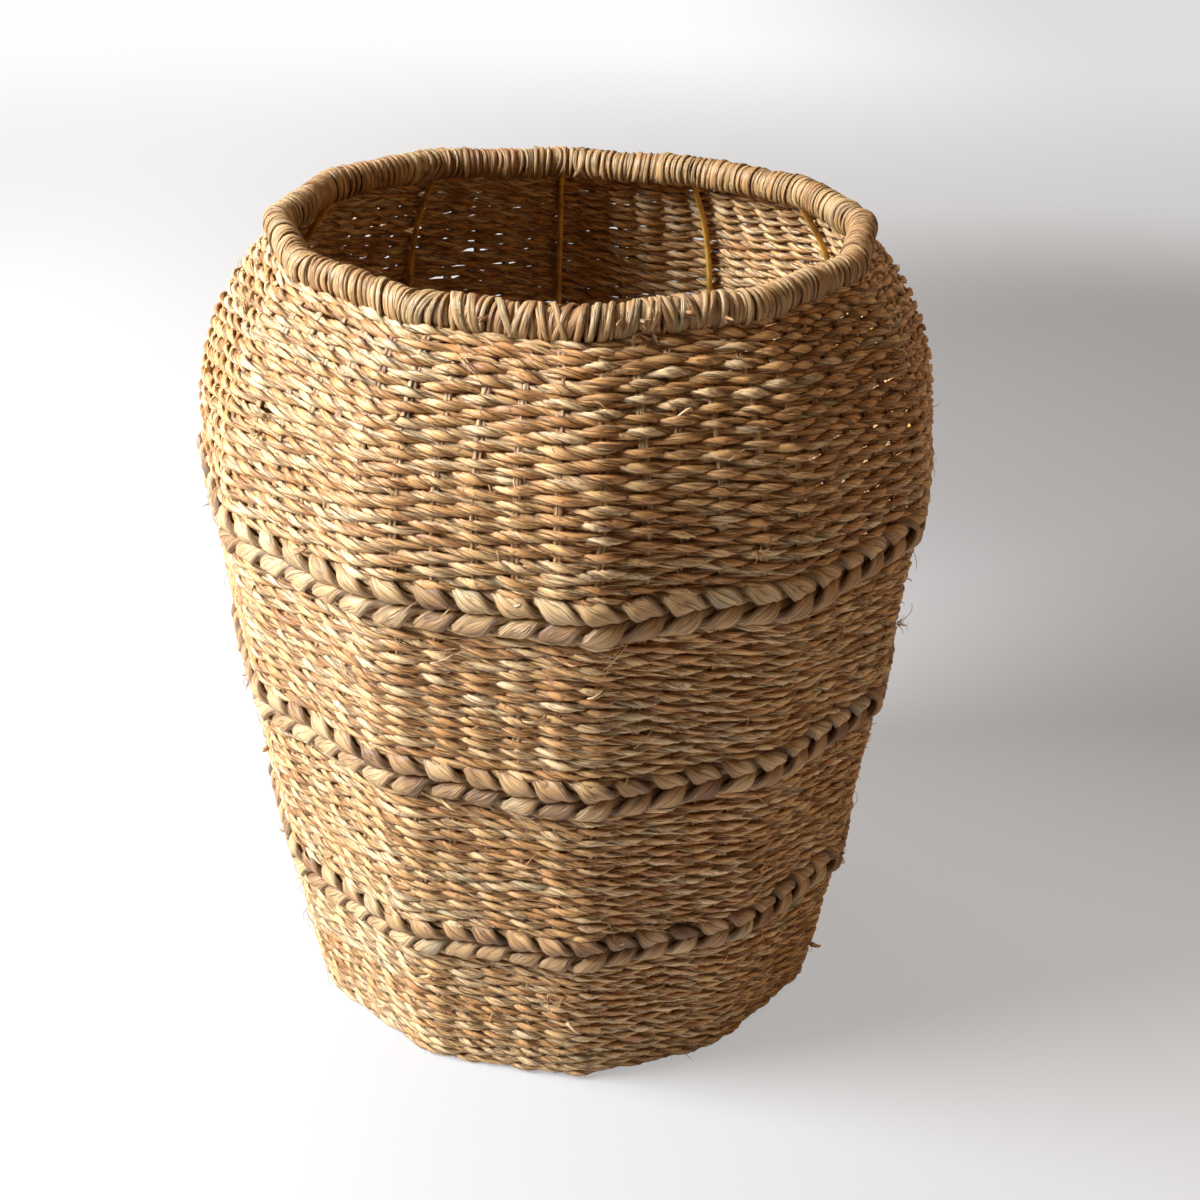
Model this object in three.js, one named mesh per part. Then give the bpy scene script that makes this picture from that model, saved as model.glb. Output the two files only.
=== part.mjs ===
// Woven seagrass basket on a painted rod frame.
// Millimetres, +Z up. The origin is the middle of the face that the basket stands on, and the front is -Y.
import * as THREE from 'three';

// Driving dimensions of the woven body. Radii are to the outside of the weave, at the ribs.
const overallHeight = 500;
const bellyHeight = 350;
const baseRadius = 181;
const bellyRadius = 224;
const wallThickness = 9;
const wallTopThickness = 6;
const wallTopOutset = 3.5;
const footRounding = 4;

// Shape of the side: how much the lower side bows out, and how late the shoulder turns in.
const sideBow = 0.3;
const shoulderTurn = 2.75;

// The plan is a soft polygon with a rounded corner at each rib.
const ribCount = 12;
const firstRibAngle = THREE.MathUtils.degToRad(3.8);
const sideFlatness = 0.8;
const cornerRounding = THREE.MathUtils.degToRad(3);

// Rod frame.
const rodDiameter = 4;
const rimHoopRadius = 169;

// Rim binding: strips wrapped round the rim hoop.
const bindingWidth = 17;
const bindingHeight = 20;
const bindingMouthFlare = 1.4;

// Decorative bands: each has two rows, one above the other, round the heights of their middles.
const bandHeight = 25;
const bandProud = 1.5;
const bandEdgeShare = 0.2;
const bandLevels = { upper: 347, middle: 233, lower: 111 };

// Woven disc that closes the bottom.
const basePanelThickness = 8;

// Gap between pieces that touch on the real basket, and the wall's gap where it is tucked under the binding.
const seatGap = 0.3;
const tuckGap = 0.6;

// Facets.
const stepsPerSide = 4;
const rodSides = 8;
const stepsPerRib = 14;
const ribStepCrowding = 1.6;
const bindingSides = 11;
const shoulderRings = 9;
const sideRings = 2;
const footRings = 3;

const rodRadius = rodDiameter / 2;
const rimHoopHeight = overallHeight - bindingHeight / 2;
const wallTop = overallHeight - bindingHeight - seatGap;
const wallTopRadius = rimHoopRadius + bindingWidth / 2 + wallTopOutset;
const sideAngle = (2 * Math.PI) / ribCount;
const stepsRound = ribCount * stepsPerSide;

// Radius of the outside of the weave at a height: a bowed side up to the belly, then the shoulder.
function outerRadius(height) {
  if (height <= bellyHeight) {
    const share = height / bellyHeight;
    return baseRadius + (bellyRadius - baseRadius) * share * (1 + sideBow - sideBow * share);
  }
  const share = (height - bellyHeight) / (wallTop - bellyHeight);
  return bellyRadius - (bellyRadius - wallTopRadius) * share ** shoulderTurn;
}

function innerRadius(height) {
  return outerRadius(height) - wallThickness;
}

// Radius of the soft polygon at an angle from its corner, where a polygon with sharp corners has 1.
function softPolygon(fromCorner) {
  const eased = Math.hypot(fromCorner, cornerRounding);
  const half = sideAngle / 2;
  return Math.cos(half) / Math.cos(half - Math.min(eased, half));
}

// How far the plan reaches at an angle, as a share of its reach at a rib.
function planFactor(angle) {
  const turns = (angle - firstRibAngle) / sideAngle;
  const fromCorner = Math.abs(turns - Math.round(turns)) * sideAngle;
  return 1 - sideFlatness * (1 - softPolygon(fromCorner) / softPolygon(0));
}

// Angle of a rib, counted from the front (-Y) towards +X.
function ribAngle(index) {
  return firstRibAngle + index * sideAngle;
}

function placeAt(angle, radius, height) {
  return new THREE.Vector3(radius * Math.sin(angle), -radius * Math.cos(angle), height);
}

// A ring with the soft polygon's plan, from its closed section of [radius, height] points.
function ring(section) {
  const outline = section.map(([radius, height]) => new THREE.Vector2(radius, height));
  const isLoop = section[0][0] > 0;
  if (isLoop) outline.push(outline[0].clone());
  const geometry = new THREE.LatheGeometry(outline, stepsRound, 0, 2 * Math.PI);
  const points = geometry.attributes.position;
  for (let i = 0; i < points.count; i += 1) {
    const step = Math.floor(i / outline.length);
    const angle = firstRibAngle + (step / stepsRound) * 2 * Math.PI;
    const { x: radius, y: height } = outline[i % outline.length];
    const place = placeAt(angle, radius * planFactor(angle), height);
    points.setXYZ(i, place.x, place.y, place.z);
  }
  geometry.computeVertexNormals();
  return geometry;
}

// A curve through points, which puts one ring of a rod on each of them.
class PointedCurve extends THREE.CatmullRomCurve3 {
  getPointAt(share, target) {
    return this.getPoint(share, target);
  }

  getTangentAt(share, target) {
    return this.getTangent(share, target);
  }
}

// A round rod along a curve.
function rod(curve, steps) {
  const section = new THREE.Shape();
  for (let side = 0; side < rodSides; side += 1) {
    const turn = (side / rodSides) * 2 * Math.PI;
    const x = rodRadius * Math.cos(turn);
    const y = rodRadius * Math.sin(turn);
    if (side === 0) section.moveTo(x, y);
    else section.lineTo(x, y);
  }
  return new THREE.ExtrudeGeometry(section, { steps, curveSegments: 1, extrudePath: curve });
}

function straightRod(start, end) {
  return rod(new THREE.LineCurve3(start, end), 1);
}

// Round section of a hoop.
function hoopSection(radius, height) {
  const section = [];
  for (let side = 0; side < rodSides; side += 1) {
    const turn = (side / rodSides) * 2 * Math.PI;
    section.push([radius + rodRadius * Math.cos(turn), height + rodRadius * Math.sin(turn)]);
  }
  return section;
}

// Materials.
const seagrass = new THREE.MeshStandardMaterial({ color: 0xc29a64, roughness: 0.85, metalness: 0 });
const bandStrand = new THREE.MeshStandardMaterial({ color: 0xb59a6c, roughness: 0.75, metalness: 0 });
const wrapStrip = new THREE.MeshStandardMaterial({ color: 0xc4a271, roughness: 0.8, metalness: 0 });
const paintedRod = new THREE.MeshStandardMaterial({ color: 0x8f6a24, roughness: 0.45, metalness: 0.3 });

const basket = new THREE.Group();

function addPiece(name, geometry, material) {
  const mesh = new THREE.Mesh(geometry, material);
  mesh.name = name;
  basket.add(mesh);
}

// Height of the binding's lower face at a radius.
function bindingUnderside(radius) {
  const across = (radius - rimHoopRadius) / (bindingWidth / 2);
  return rimHoopHeight - (bindingHeight / 2) * Math.sqrt(1 - across ** 2);
}

// Woven wall between two heights. The foot's lowest edge is turned in.
// The top edge is squeezed thin and tucked up under the binding.
function wallSection(low, high, rings) {
  const outside = [];
  const inside = [];
  const start = low === 0 ? footRounding : low;
  if (low === 0) outside.push([outerRadius(0) - footRounding, 0]);
  for (let i = 0; i <= rings; i += 1) {
    const height = start + ((high - start) * i) / rings;
    outside.push([outerRadius(height), height]);
    inside.unshift([innerRadius(height), height]);
  }
  if (low === 0) inside.push([innerRadius(0), 0]);
  if (high === wallTop) {
    const tucked = outerRadius(wallTop) - wallTopThickness;
    inside[0] = [tucked, bindingUnderside(tucked) - tuckGap];
  }
  return outside.concat(inside);
}

// One row of a band: a rounded ring that stands a little proud of the wall.
function bandRow(low, high) {
  const edge = (high - low) * bandEdgeShare;
  return [
    [outerRadius(low), low],
    [outerRadius(low + edge) + bandProud, low + edge],
    [outerRadius(high - edge) + bandProud, high - edge],
    [outerRadius(high), high],
    [innerRadius(high), high],
    [innerRadius(low), low],
  ];
}

function addBand(name, level) {
  const half = bandHeight / 2;
  addPiece(`${name}_band_top_row`, ring(bandRow(level + seatGap / 2, level + half)), bandStrand);
  addPiece(`${name}_band_bottom_row`, ring(bandRow(level - half, level - seatGap / 2)), bandStrand);
}

function addWalls() {
  const above = (level) => level + bandHeight / 2 + seatGap;
  const below = (level) => level - bandHeight / 2 - seatGap;
  const { upper, middle, lower } = bandLevels;
  addPiece('wall_shoulder', ring(wallSection(above(upper), wallTop, shoulderRings)), seagrass);
  addPiece('wall_middle', ring(wallSection(above(middle), below(upper), sideRings)), seagrass);
  addPiece('wall_lower', ring(wallSection(above(lower), below(middle), sideRings)), seagrass);
  addPiece('wall_foot', ring(wallSection(0, below(lower), footRings)), seagrass);
}

// The binding is open below, where the ribs run up to the rim hoop.
function bindingSection() {
  const slot = rodRadius + seatGap;
  const mouth = slot + bindingMouthFlare;
  const halfWidth = bindingWidth / 2;
  const halfHeight = bindingHeight / 2;
  const lowest = -Math.acos(mouth / halfWidth);
  const section = [];
  for (let i = 0; i <= bindingSides; i += 1) {
    const turn = lowest + ((Math.PI - 2 * lowest) * i) / bindingSides;
    section.push([
      rimHoopRadius + halfWidth * Math.cos(turn),
      rimHoopHeight + halfHeight * Math.sin(turn),
    ]);
  }
  section.push([rimHoopRadius - slot, rimHoopHeight]);
  section.push([rimHoopRadius - slot / 2, rimHoopHeight + slot]);
  section.push([rimHoopRadius + slot / 2, rimHoopHeight + slot]);
  section.push([rimHoopRadius + slot, rimHoopHeight]);
  return section;
}

// Centre line of a rib: it lies against the inside of the wall and ends in the binding under the hoop.
// Its rings crowd towards the top, where it bends most.
function ribCurve(index, bottom) {
  const angle = ribAngle(index);
  const bendStart = wallTop - rodDiameter;
  const top = rimHoopHeight - rodRadius - seatGap;
  const slopeStep = 0.5;
  const points = [];
  for (let i = 0; i < stepsPerRib; i += 1) {
    const share = 1 - (1 - i / (stepsPerRib - 1)) ** ribStepCrowding;
    const height = bottom + (bendStart - bottom) * share;
    const rise = outerRadius(height + slopeStep) - outerRadius(height - slopeStep);
    const lean = Math.hypot(1, rise / (2 * slopeStep));
    const radius = innerRadius(height) - (rodRadius + seatGap) * lean;
    points.push(placeAt(angle, radius, height));
  }
  points.push(placeAt(angle, rimHoopRadius + seatGap, wallTop + rodRadius / 2));
  points.push(placeAt(angle, rimHoopRadius, top));
  return new PointedCurve(points);
}

// Frame: two hoops, the ribs between them, and the bars across the base.
function addFrame() {
  const baseHoopHeight = basePanelThickness + seatGap + rodRadius;
  const baseHoopRadius = innerRadius(baseHoopHeight) - rodRadius - seatGap;
  addPiece('rim_hoop', ring(hoopSection(rimHoopRadius, rimHoopHeight)), paintedRod);
  addPiece('base_hoop', ring(hoopSection(baseHoopRadius, baseHoopHeight)), paintedRod);
  const ribBottom = baseHoopHeight + rodRadius + seatGap;
  for (let i = 0; i < ribCount; i += 1) {
    const name = `rib_${String(i + 1).padStart(2, '0')}`;
    addPiece(name, rod(ribCurve(i, ribBottom), stepsPerRib + 1), paintedRod);
  }
  const reach = baseHoopRadius - rodRadius - seatGap;
  const long = ribAngle(0);
  const cross = long + Math.PI / 2;
  const barStart = rodRadius + seatGap;
  const at = (angle, radius) => placeAt(angle, radius, baseHoopHeight);
  addPiece('base_bar_long', straightRod(at(long, -reach), at(long, reach)), paintedRod);
  addPiece('base_bar_right', straightRod(at(cross, barStart), at(cross, reach)), paintedRod);
  addPiece('base_bar_left', straightRod(at(cross, -barStart), at(cross, -reach)), paintedRod);
}

// Woven disc inside the foot of the wall.
function addBasePanel() {
  const section = [
    [0, 0],
    [innerRadius(0) - seatGap, 0],
    [innerRadius(basePanelThickness) - seatGap, basePanelThickness],
    [0, basePanelThickness],
  ];
  addPiece('base_panel', ring(section), seagrass);
}

addFrame();
addWalls();
addBand('upper', bandLevels.upper);
addBand('middle', bandLevels.middle);
addBand('lower', bandLevels.lower);
addPiece('rim_binding', ring(bindingSection()), wrapStrip);
addBasePanel();

export default basket;
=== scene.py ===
"""Seagrass basket woven round a painted rod frame.

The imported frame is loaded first. Each class below then builds one sub-assembly over it: the woven wall,
its stakes, the three arrow bands, the wrapped rim, the woven base, the rods and the frayed ends.
Sizes are real millimetres and meshes are in metres. Angles run from the front (-Y) towards +X.
"""

import logging
import math
from dataclasses import dataclass, field
from enum import Enum

import bpy
import numpy as np
from mathutils import Matrix, Vector


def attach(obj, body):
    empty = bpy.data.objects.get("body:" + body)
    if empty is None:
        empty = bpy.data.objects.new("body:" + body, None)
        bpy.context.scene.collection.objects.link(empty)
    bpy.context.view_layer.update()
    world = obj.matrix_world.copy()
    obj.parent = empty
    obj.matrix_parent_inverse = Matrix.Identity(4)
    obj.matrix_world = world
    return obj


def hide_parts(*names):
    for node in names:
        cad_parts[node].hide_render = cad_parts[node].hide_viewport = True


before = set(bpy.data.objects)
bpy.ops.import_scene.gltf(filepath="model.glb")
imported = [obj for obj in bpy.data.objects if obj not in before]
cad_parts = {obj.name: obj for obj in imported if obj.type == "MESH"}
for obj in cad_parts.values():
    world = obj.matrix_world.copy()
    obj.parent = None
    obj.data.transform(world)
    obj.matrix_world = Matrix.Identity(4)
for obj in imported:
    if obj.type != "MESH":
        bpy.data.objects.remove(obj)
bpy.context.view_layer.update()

Array = np.ndarray
Value = Array | float
Range = tuple[float, float]
Rng = np.random.Generator
Material = bpy.types.Material
Piece = bpy.types.Object
Node = bpy.types.Node
Tree = bpy.types.NodeTree

MM = 0.001
FULL_TURN = 2 * math.pi
UPRIGHT = np.array([0.0, 0.0, 1.0])
SHORTEST = 1e-12
KNOT_SPREAD = 0.6

log = logging.getLogger("basket")


# Shared shape helpers

def from_hex(code: str) -> tuple[float, float, float, float]:
    """Turns an sRGB hex colour into linear RGBA.

    Args:
        code: six hex digits after a hash sign.

    Returns:
        The linear colour with an alpha of 1.
    """
    channels = []
    for start in (1, 3, 5):
        value = int(code[start:start + 2], 16) / 255
        channels.append(value / 12.92 if value <= 0.04045 else ((value + 0.055) / 1.055) ** 2.4)
    return (channels[0], channels[1], channels[2], 1.0)


def wander(rng: Rng, along: Array, spacing: float) -> Array:
    """Smooth seeded noise along a line.

    Args:
        rng: source of the draws.
        along: rising positions along the line.
        spacing: distance between two draws.

    Returns:
        One value for each position, mostly from -1 to 1.
    """
    place = (along - along[0]) / spacing
    knots = rng.normal(0.0, KNOT_SPREAD, int(place[-1]) + 3)
    index = place.astype(int)
    share = place - index
    share = share * share * (3 - 2 * share)
    return knots[index] * (1 - share) + knots[index + 1] * share


def stretches(rng: Rng, along: Array, shortest: float, longest: float) -> Array:
    """Values from 0 to 1 that stay level for a stretch and then change, as where a new strand is fed in.

    Args:
        rng: source of the draws.
        along: rising positions along the line.
        shortest: length of the shortest stretch.
        longest: length of the longest stretch.

    Returns:
        One value for each position.
    """
    count = int((along[-1] - along[0]) / shortest) + 2
    ends = along[0] + np.cumsum(rng.uniform(shortest, longest, count))
    values = rng.uniform(0.0, 1.0, count + 1)
    return values[np.searchsorted(ends, along)]


def unit(vectors: Array) -> Array:
    """Vectors of length 1 in the same directions."""
    return vectors / np.maximum(np.linalg.norm(vectors, axis=-1, keepdims=True), SHORTEST)


def outwards(angle: Value) -> Array:
    """Level directions away from the basket's middle, at angles round it."""
    return np.stack([np.sin(angle), -np.cos(angle), np.zeros_like(angle)], -1)


def round_place(angle: Value, radius: Value, height: Value) -> Array:
    """Points at angles round the basket, from their radius and height."""
    return outwards(angle) * np.reshape(radius, (-1, 1)) + UPRIGHT * np.reshape(height, (-1, 1))


def length_along(points: Array) -> Array:
    """Length of a line up to each of its points."""
    return np.concatenate([[0.0], np.cumsum(np.linalg.norm(np.diff(points, axis=0), axis=1))])


@dataclass(frozen=True)
class Waver:
    """Smooth unevenness along a strand: how much of it, and the distance between two draws."""

    amount: float
    spacing: float

    def along(self, rng: Rng, place: Array, measure: float = 1.0) -> Array:
        """The unevenness at each place. The spacing is in measures of so many millimetres."""
        return self.amount * wander(rng, place, self.spacing * measure)


@dataclass(frozen=True)
class Toning:
    """A strand's tone: level until the next strand of grass is fed in, and uneven along each of them."""

    darkest: float
    spread: float
    shortest: float
    longest: float
    wavers: tuple[Waver, ...]

    def along(self, rng: Rng, place: Array, measure: float = 1.0) -> Array:
        """Draws the tone along one strand.

        Args:
            rng: source of the draws.
            place: rising positions along the strand.
            measure: how many millimetres the lengths and spacings are counted in.

        Returns:
            The tone at each position, mostly from 0 to 1.
        """
        level = stretches(rng, place, self.shortest * measure, self.longest * measure)
        tone = self.spread * level + self.darkest
        for waver in self.wavers:
            tone = tone + waver.along(rng, place, measure)
        return tone


@dataclass(frozen=True)
class Slump:
    """How far the rows sag and rise round the basket, the same for rows that lie on each other.

    The mouth also dips a little at the back and at the front.
    """

    turns: tuple[int, ...] = (2, 3, 5, 7, 11, 16)
    rises: tuple[float, ...] = (0.011, -0.02, 0.03, -0.042, 0.05, 0.07)
    phases: tuple[float, ...] = (0.4, 2.1, 4.0, 1.3, 5.2, 3.3)
    shares: tuple[float, ...] = (0.35, 0.32, 0.34, 0.3, 0.27, 0.22)
    heights: tuple[float, ...] = (0.0, 12.0, 50.0, 150.0, 350.0, 480.0, 500.0)
    reaches: tuple[float, ...] = (0.0, 0.2, 2.0, 2.5, 1.7, 1.0, 0.8)
    dips: tuple[float, ...] = (5.5, 3.0)
    dip_angles: tuple[float, ...] = (math.radians(172.0), math.radians(2.0))
    dip_spread: float = math.radians(26.0)
    dip_heights: Range = (395.0, 478.0)

    def at(self, angle: Array, height: Array) -> Array:
        """How far the rows lie above their even height.

        Args:
            angle: angles round the basket.
            height: even height of the row at each of them.

        Returns:
            The rise at each angle, in millimetres.
        """
        total = np.zeros_like(angle)
        for turns, rise, phase, share in zip(self.turns, self.rises, self.phases, self.shares):
            total = total + share * np.sin(turns * angle + rise * height + phase)
        total = total * np.interp(height, self.heights, self.reaches)
        for dip, middle in zip(self.dips, self.dip_angles):
            off_middle = (1 - np.cos(angle - middle)) / self.dip_spread**2
            total = total - dip * np.exp(-off_middle) * np.interp(height, self.dip_heights, (0.0, 1.0))
        return total


@dataclass(frozen=True)
class BasketForm:
    """Shape of the basket's side, as in the part's source but with crisper ridges at the ribs, in mm."""

    overall_height: float = 500.0
    belly_height: float = 350.0
    base_radius: float = 181.0
    belly_radius: float = 224.0
    wall_thickness: float = 9.0
    wall_top_outset: float = 3.5
    foot_rounding: float = 4.0
    side_bow: float = 0.3
    shoulder_turn: float = 2.75
    rib_count: int = 12
    first_rib: float = math.radians(3.8)
    side_flatness: float = 0.96
    corner_rounding: float = math.radians(1.8)
    rod_diameter: float = 4.0
    rim_hoop_radius: float = 169.0
    binding_width: float = 17.0
    binding_height: float = 20.0
    band_height: float = 25.0
    base_panel_thickness: float = 8.0
    seat_gap: float = 0.3
    stake_count: int = 63
    base_row: float = 2.7
    slope_limits: Range = (-1.0, 0.5)
    outline_points: int = 2000
    stretch_points: int = 1000
    slump: Slump = Slump()

    @property
    def wall_top(self) -> float:
        """Height of the wall's top edge."""
        return self.overall_height - self.binding_height - self.seat_gap

    @property
    def wall_top_radius(self) -> float:
        """Radius of the outside of the weave at its top edge."""
        return self.rim_hoop_radius + self.binding_width / 2 + self.wall_top_outset

    @property
    def rim_hoop_height(self) -> float:
        """Height of the middle of the rim."""
        return self.overall_height - self.binding_height / 2

    def outer_radius(self, height: Value) -> Array:
        """Radius of the outside of the weave at a rib.

        Args:
            height: heights above the floor.

        Returns:
            The radius at each height.
        """
        height = np.asarray(height, float)
        low = np.clip(height / self.belly_height, 0, 1)
        side = self.base_radius + (self.belly_radius - self.base_radius) * low * (
            1 + self.side_bow - self.side_bow * low
        )
        high = np.clip((height - self.belly_height) / (self.wall_top - self.belly_height), 0, None)
        inset = np.where(
            height < self.foot_rounding,
            self.foot_rounding * (1 - np.clip(height, 0, None) / self.foot_rounding) ** 2,
            0.0,
        )
        return side - (self.belly_radius - self.wall_top_radius) * high ** self.shoulder_turn - inset

    def polygon(self, offset: Array) -> Array:
        """Reach of a polygon with a side between each two ribs.

        Args:
            offset: angles from the nearest corner, which is a little rounded.

        Returns:
            The reach at each angle, as a share of the reach of a sharp corner.
        """
        half = math.pi / self.rib_count
        eased = np.minimum(np.hypot(offset, self.corner_rounding), half)
        return math.cos(half) / np.cos(half - eased)

    def plan_factor(self, angle: Value) -> Array:
        """How far the soft twelve-sided plan reaches, as a share of its reach at a rib.

        Args:
            angle: angles round the basket.

        Returns:
            The share at each angle.
        """
        step = FULL_TURN / self.rib_count
        turns = (np.asarray(angle, float) - self.first_rib) / step
        from_corner = np.abs(turns - np.round(turns)) * step
        return 1 - self.side_flatness * (1 - self.polygon(from_corner) / self.polygon(np.zeros(1)))

    def height_of_climb(self, low: float, climb: Array) -> Array:
        """Heights reached by climbing along the side.

        Args:
            low: height to start from.
            climb: distances along the side's outline.

        Returns:
            The height at each distance.
        """
        heights = np.linspace(low, self.overall_height, self.outline_points)
        steps = np.hypot(np.diff(heights), np.diff(self.outer_radius(heights)))
        return np.interp(climb, np.concatenate([[0.0], np.cumsum(steps)]), heights)

    def climb_between(self, low: float, high: float) -> float:
        """Distance along the side's outline between two heights."""
        heights = np.linspace(low, high, self.stretch_points)
        return float(np.hypot(np.diff(heights), np.diff(self.outer_radius(heights))).sum())

    def slope(self, height: Array) -> Array:
        """How fast the outside's radius grows with height."""
        nudge = 0.5
        return (self.outer_radius(height + nudge) - self.outer_radius(height - nudge)) / (2 * nudge)

    def on_side(self, angle: Array, height: Array, depth: float) -> tuple[Array, Array, Array]:
        """Points under the outside of the weave.

        Args:
            angle: angles round the basket.
            height: heights before the slump.
            depth: distance inwards from the outside of the weave.

        Returns:
            The points, the directions out of the side, and the directions up along it.
        """
        slope = np.clip(self.slope(height), *self.slope_limits)
        lean = np.hypot(1.0, slope)
        radial = outwards(angle)
        out = radial / lean[:, None] - UPRIGHT * (slope / lean)[:, None]
        up = radial * (slope / lean)[:, None] + UPRIGHT / lean[:, None]
        radius = (self.outer_radius(height) - depth) * self.plan_factor(angle)
        return round_place(angle, radius, height + self.slump.at(angle, height)), out, up


FORM = BasketForm()


class StrandMesh:
    """Gathers flat-oval strands and makes one mesh of them.

    The mesh has a UV map in metres, along and round each strand, and attributes with its tone and its
    nearness to one of its two thin edges.
    """

    longest_shift: float = 5.0

    def __init__(self, sides: int) -> None:
        """Starts empty.

        Args:
            sides: number of sides of each strand.
        """
        self.sides = sides
        self.turn = FULL_TURN * np.arange(sides) / sides
        self.points: list[Array] = []
        self.quads: list[Array] = []
        self.caps: list[Array] = []
        self.along: list[Array] = []
        self.girths: list[Array] = []
        self.tones: list[Array] = []
        self.count = 0

    def add(
        self, centre: Array, out: Array, half_width: Value, half_thickness: Value, tone: Value,
        rng: Rng | None = None,
    ) -> None:
        """Adds one strand. What is the same all along can be a single value.

        Args:
            centre: points along its middle, in millimetres.
            out: direction of its thin axis at each point.
            half_width: half its width at each point.
            half_thickness: half its thickness at each point.
            tone: its tone at each point, which is kept from 0 to 1.
            rng: source of the draw for where its pattern starts along the UV map, or none for a start at 0.
        """
        rings = len(centre)
        shift = rng.uniform(0.0, self.longest_shift) if rng else 0.0
        half_width = np.broadcast_to(half_width, rings)
        half_thickness = np.broadcast_to(half_thickness, rings)
        ahead = unit(np.gradient(centre, axis=0))
        thin = unit(out - ahead * np.sum(out * ahead, -1, keepdims=True))
        wide = np.cross(thin, ahead)
        ring = (
            centre[:, None, :]
            + wide[:, None, :] * (np.cos(self.turn)[None, :] * half_width[:, None])[..., None]
            + thin[:, None, :] * (np.sin(self.turn)[None, :] * half_thickness[:, None])[..., None]
        )
        first = self.count + np.arange(rings - 1)[:, None] * self.sides
        following = first + self.sides
        side = np.arange(self.sides)[None, :]
        after = (side + 1) % self.sides
        quads = np.stack([first + side, first + after, following + after, following + side], -1)
        last = self.count + (rings - 1) * self.sides
        caps = np.array([self.count + np.arange(self.sides)[::-1], last + np.arange(self.sides)])
        self.points.append(ring.reshape(-1, 3))
        self.quads.append(quads.reshape(-1, 4))
        self.caps.append(caps)
        self.along.append(length_along(centre) * MM + shift)
        self.girths.append(math.pi * (half_width + half_thickness) * MM)
        self.tones.append(np.repeat(np.broadcast_to(np.clip(tone, 0.0, 1.0), rings), self.sides))
        self.count += rings * self.sides

    def build(self, name: str) -> Piece:
        """Makes the mesh object.

        Args:
            name: name of the object.

        Returns:
            The new object, linked to the scene.
        """
        points = np.concatenate(self.points) * MM
        quads = np.concatenate(self.quads)
        caps = np.concatenate(self.caps)
        mesh = bpy.data.meshes.new(name)
        mesh.vertices.add(len(points))
        mesh.vertices.foreach_set("co", points.astype(np.float32).ravel())
        corners = np.concatenate([quads.ravel(), caps.ravel()])
        mesh.loops.add(len(corners))
        mesh.loops.foreach_set("vertex_index", corners.astype(np.int32))
        mesh.polygons.add(len(quads) + len(caps))
        starts = np.concatenate([
            np.arange(len(quads)) * 4,
            quads.size + np.arange(len(caps)) * self.sides,
        ])
        mesh.polygons.foreach_set("loop_start", starts.astype(np.int32))
        mesh.update(calc_edges=True)
        mesh.polygons.foreach_set("use_smooth", np.ones(len(quads) + len(caps), bool))
        self.write_map(mesh, len(caps))
        tone = mesh.attributes.new("tone", "FLOAT", "POINT")
        tone.data.foreach_set("value", np.concatenate(self.tones).astype(np.float32))
        nearness = np.tile(np.abs(np.cos(self.turn)), len(points) // self.sides)
        edge = mesh.attributes.new("edge", "FLOAT", "POINT")
        edge.data.foreach_set("value", nearness.astype(np.float32))
        piece = bpy.data.objects.new(name, mesh)
        bpy.context.scene.collection.objects.link(piece)
        return piece

    def write_map(self, mesh: bpy.types.Mesh, cap_count: int) -> None:
        """Writes the UV map, in metres along and round each strand.

        Args:
            mesh: the mesh to write it on.
            cap_count: number of end caps, which come after the sides.
        """
        corners = []
        for along, girth in zip(self.along, self.girths):
            low = np.repeat(along[:-1], self.sides)
            high = np.repeat(along[1:], self.sides)
            side = np.tile(np.arange(self.sides), len(along) - 1) / self.sides
            next_side = side + 1 / self.sides
            reach = float(girth.mean())
            corners.append(np.stack([
                np.stack([low, side * reach], -1),
                np.stack([low, next_side * reach], -1),
                np.stack([high, next_side * reach], -1),
                np.stack([high, side * reach], -1),
            ], 1).reshape(-1, 2))
        corners.append(np.zeros((cap_count * self.sides, 2)))
        layer = mesh.uv_layers.new(name="UVMap")
        layer.data.foreach_set("uv", np.concatenate(corners).astype(np.float32).ravel())


# Materials

def add_node(tree: Tree, kind: str, inputs: dict | None = None, **settings: object) -> Node:
    """Adds a node with its settings and links.

    Args:
        tree: tree to add it to.
        kind: the node's type.
        inputs: what to feed into it.
        settings: the node's own properties.

    Returns:
        The new node.
    """
    node = tree.nodes.new(kind)
    for name, value in settings.items():
        setattr(node, name, value)
    feed(node, inputs or {})
    return node


def feed(node: Node, inputs: dict) -> None:
    """Links or sets a node's inputs.

    Args:
        node: the node.
        inputs: by name or number, a value, a socket to link from, or a node whose first output is linked.
    """
    for key, value in inputs.items():
        if isinstance(value, Node):
            value = value.outputs[0]
        if isinstance(value, bpy.types.NodeSocket):
            node.id_data.links.new(value, node.inputs[key])
        else:
            node.inputs[key].default_value = value


def start_material(name: str) -> tuple[Material, Tree, Node]:
    """Makes a new material.

    Args:
        name: its name.

    Returns:
        The material, its node tree and its shader.
    """
    material = bpy.data.materials.new(name)
    material.use_nodes = True
    return material, material.node_tree, material.node_tree.nodes["Principled BSDF"]


def set_ramp(node: Node, stops: tuple[tuple[float, str], ...]) -> None:
    """Gives a colour ramp its stops.

    Args:
        node: the Color Ramp node.
        stops: place from 0 to 1 and hex colour of each stop.
    """
    ramp = node.color_ramp
    while len(ramp.elements) < len(stops):
        ramp.elements.new(0.5)
    for element, (place, code) in zip(ramp.elements, stops):
        element.position = place
        element.color = from_hex(code)


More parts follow.
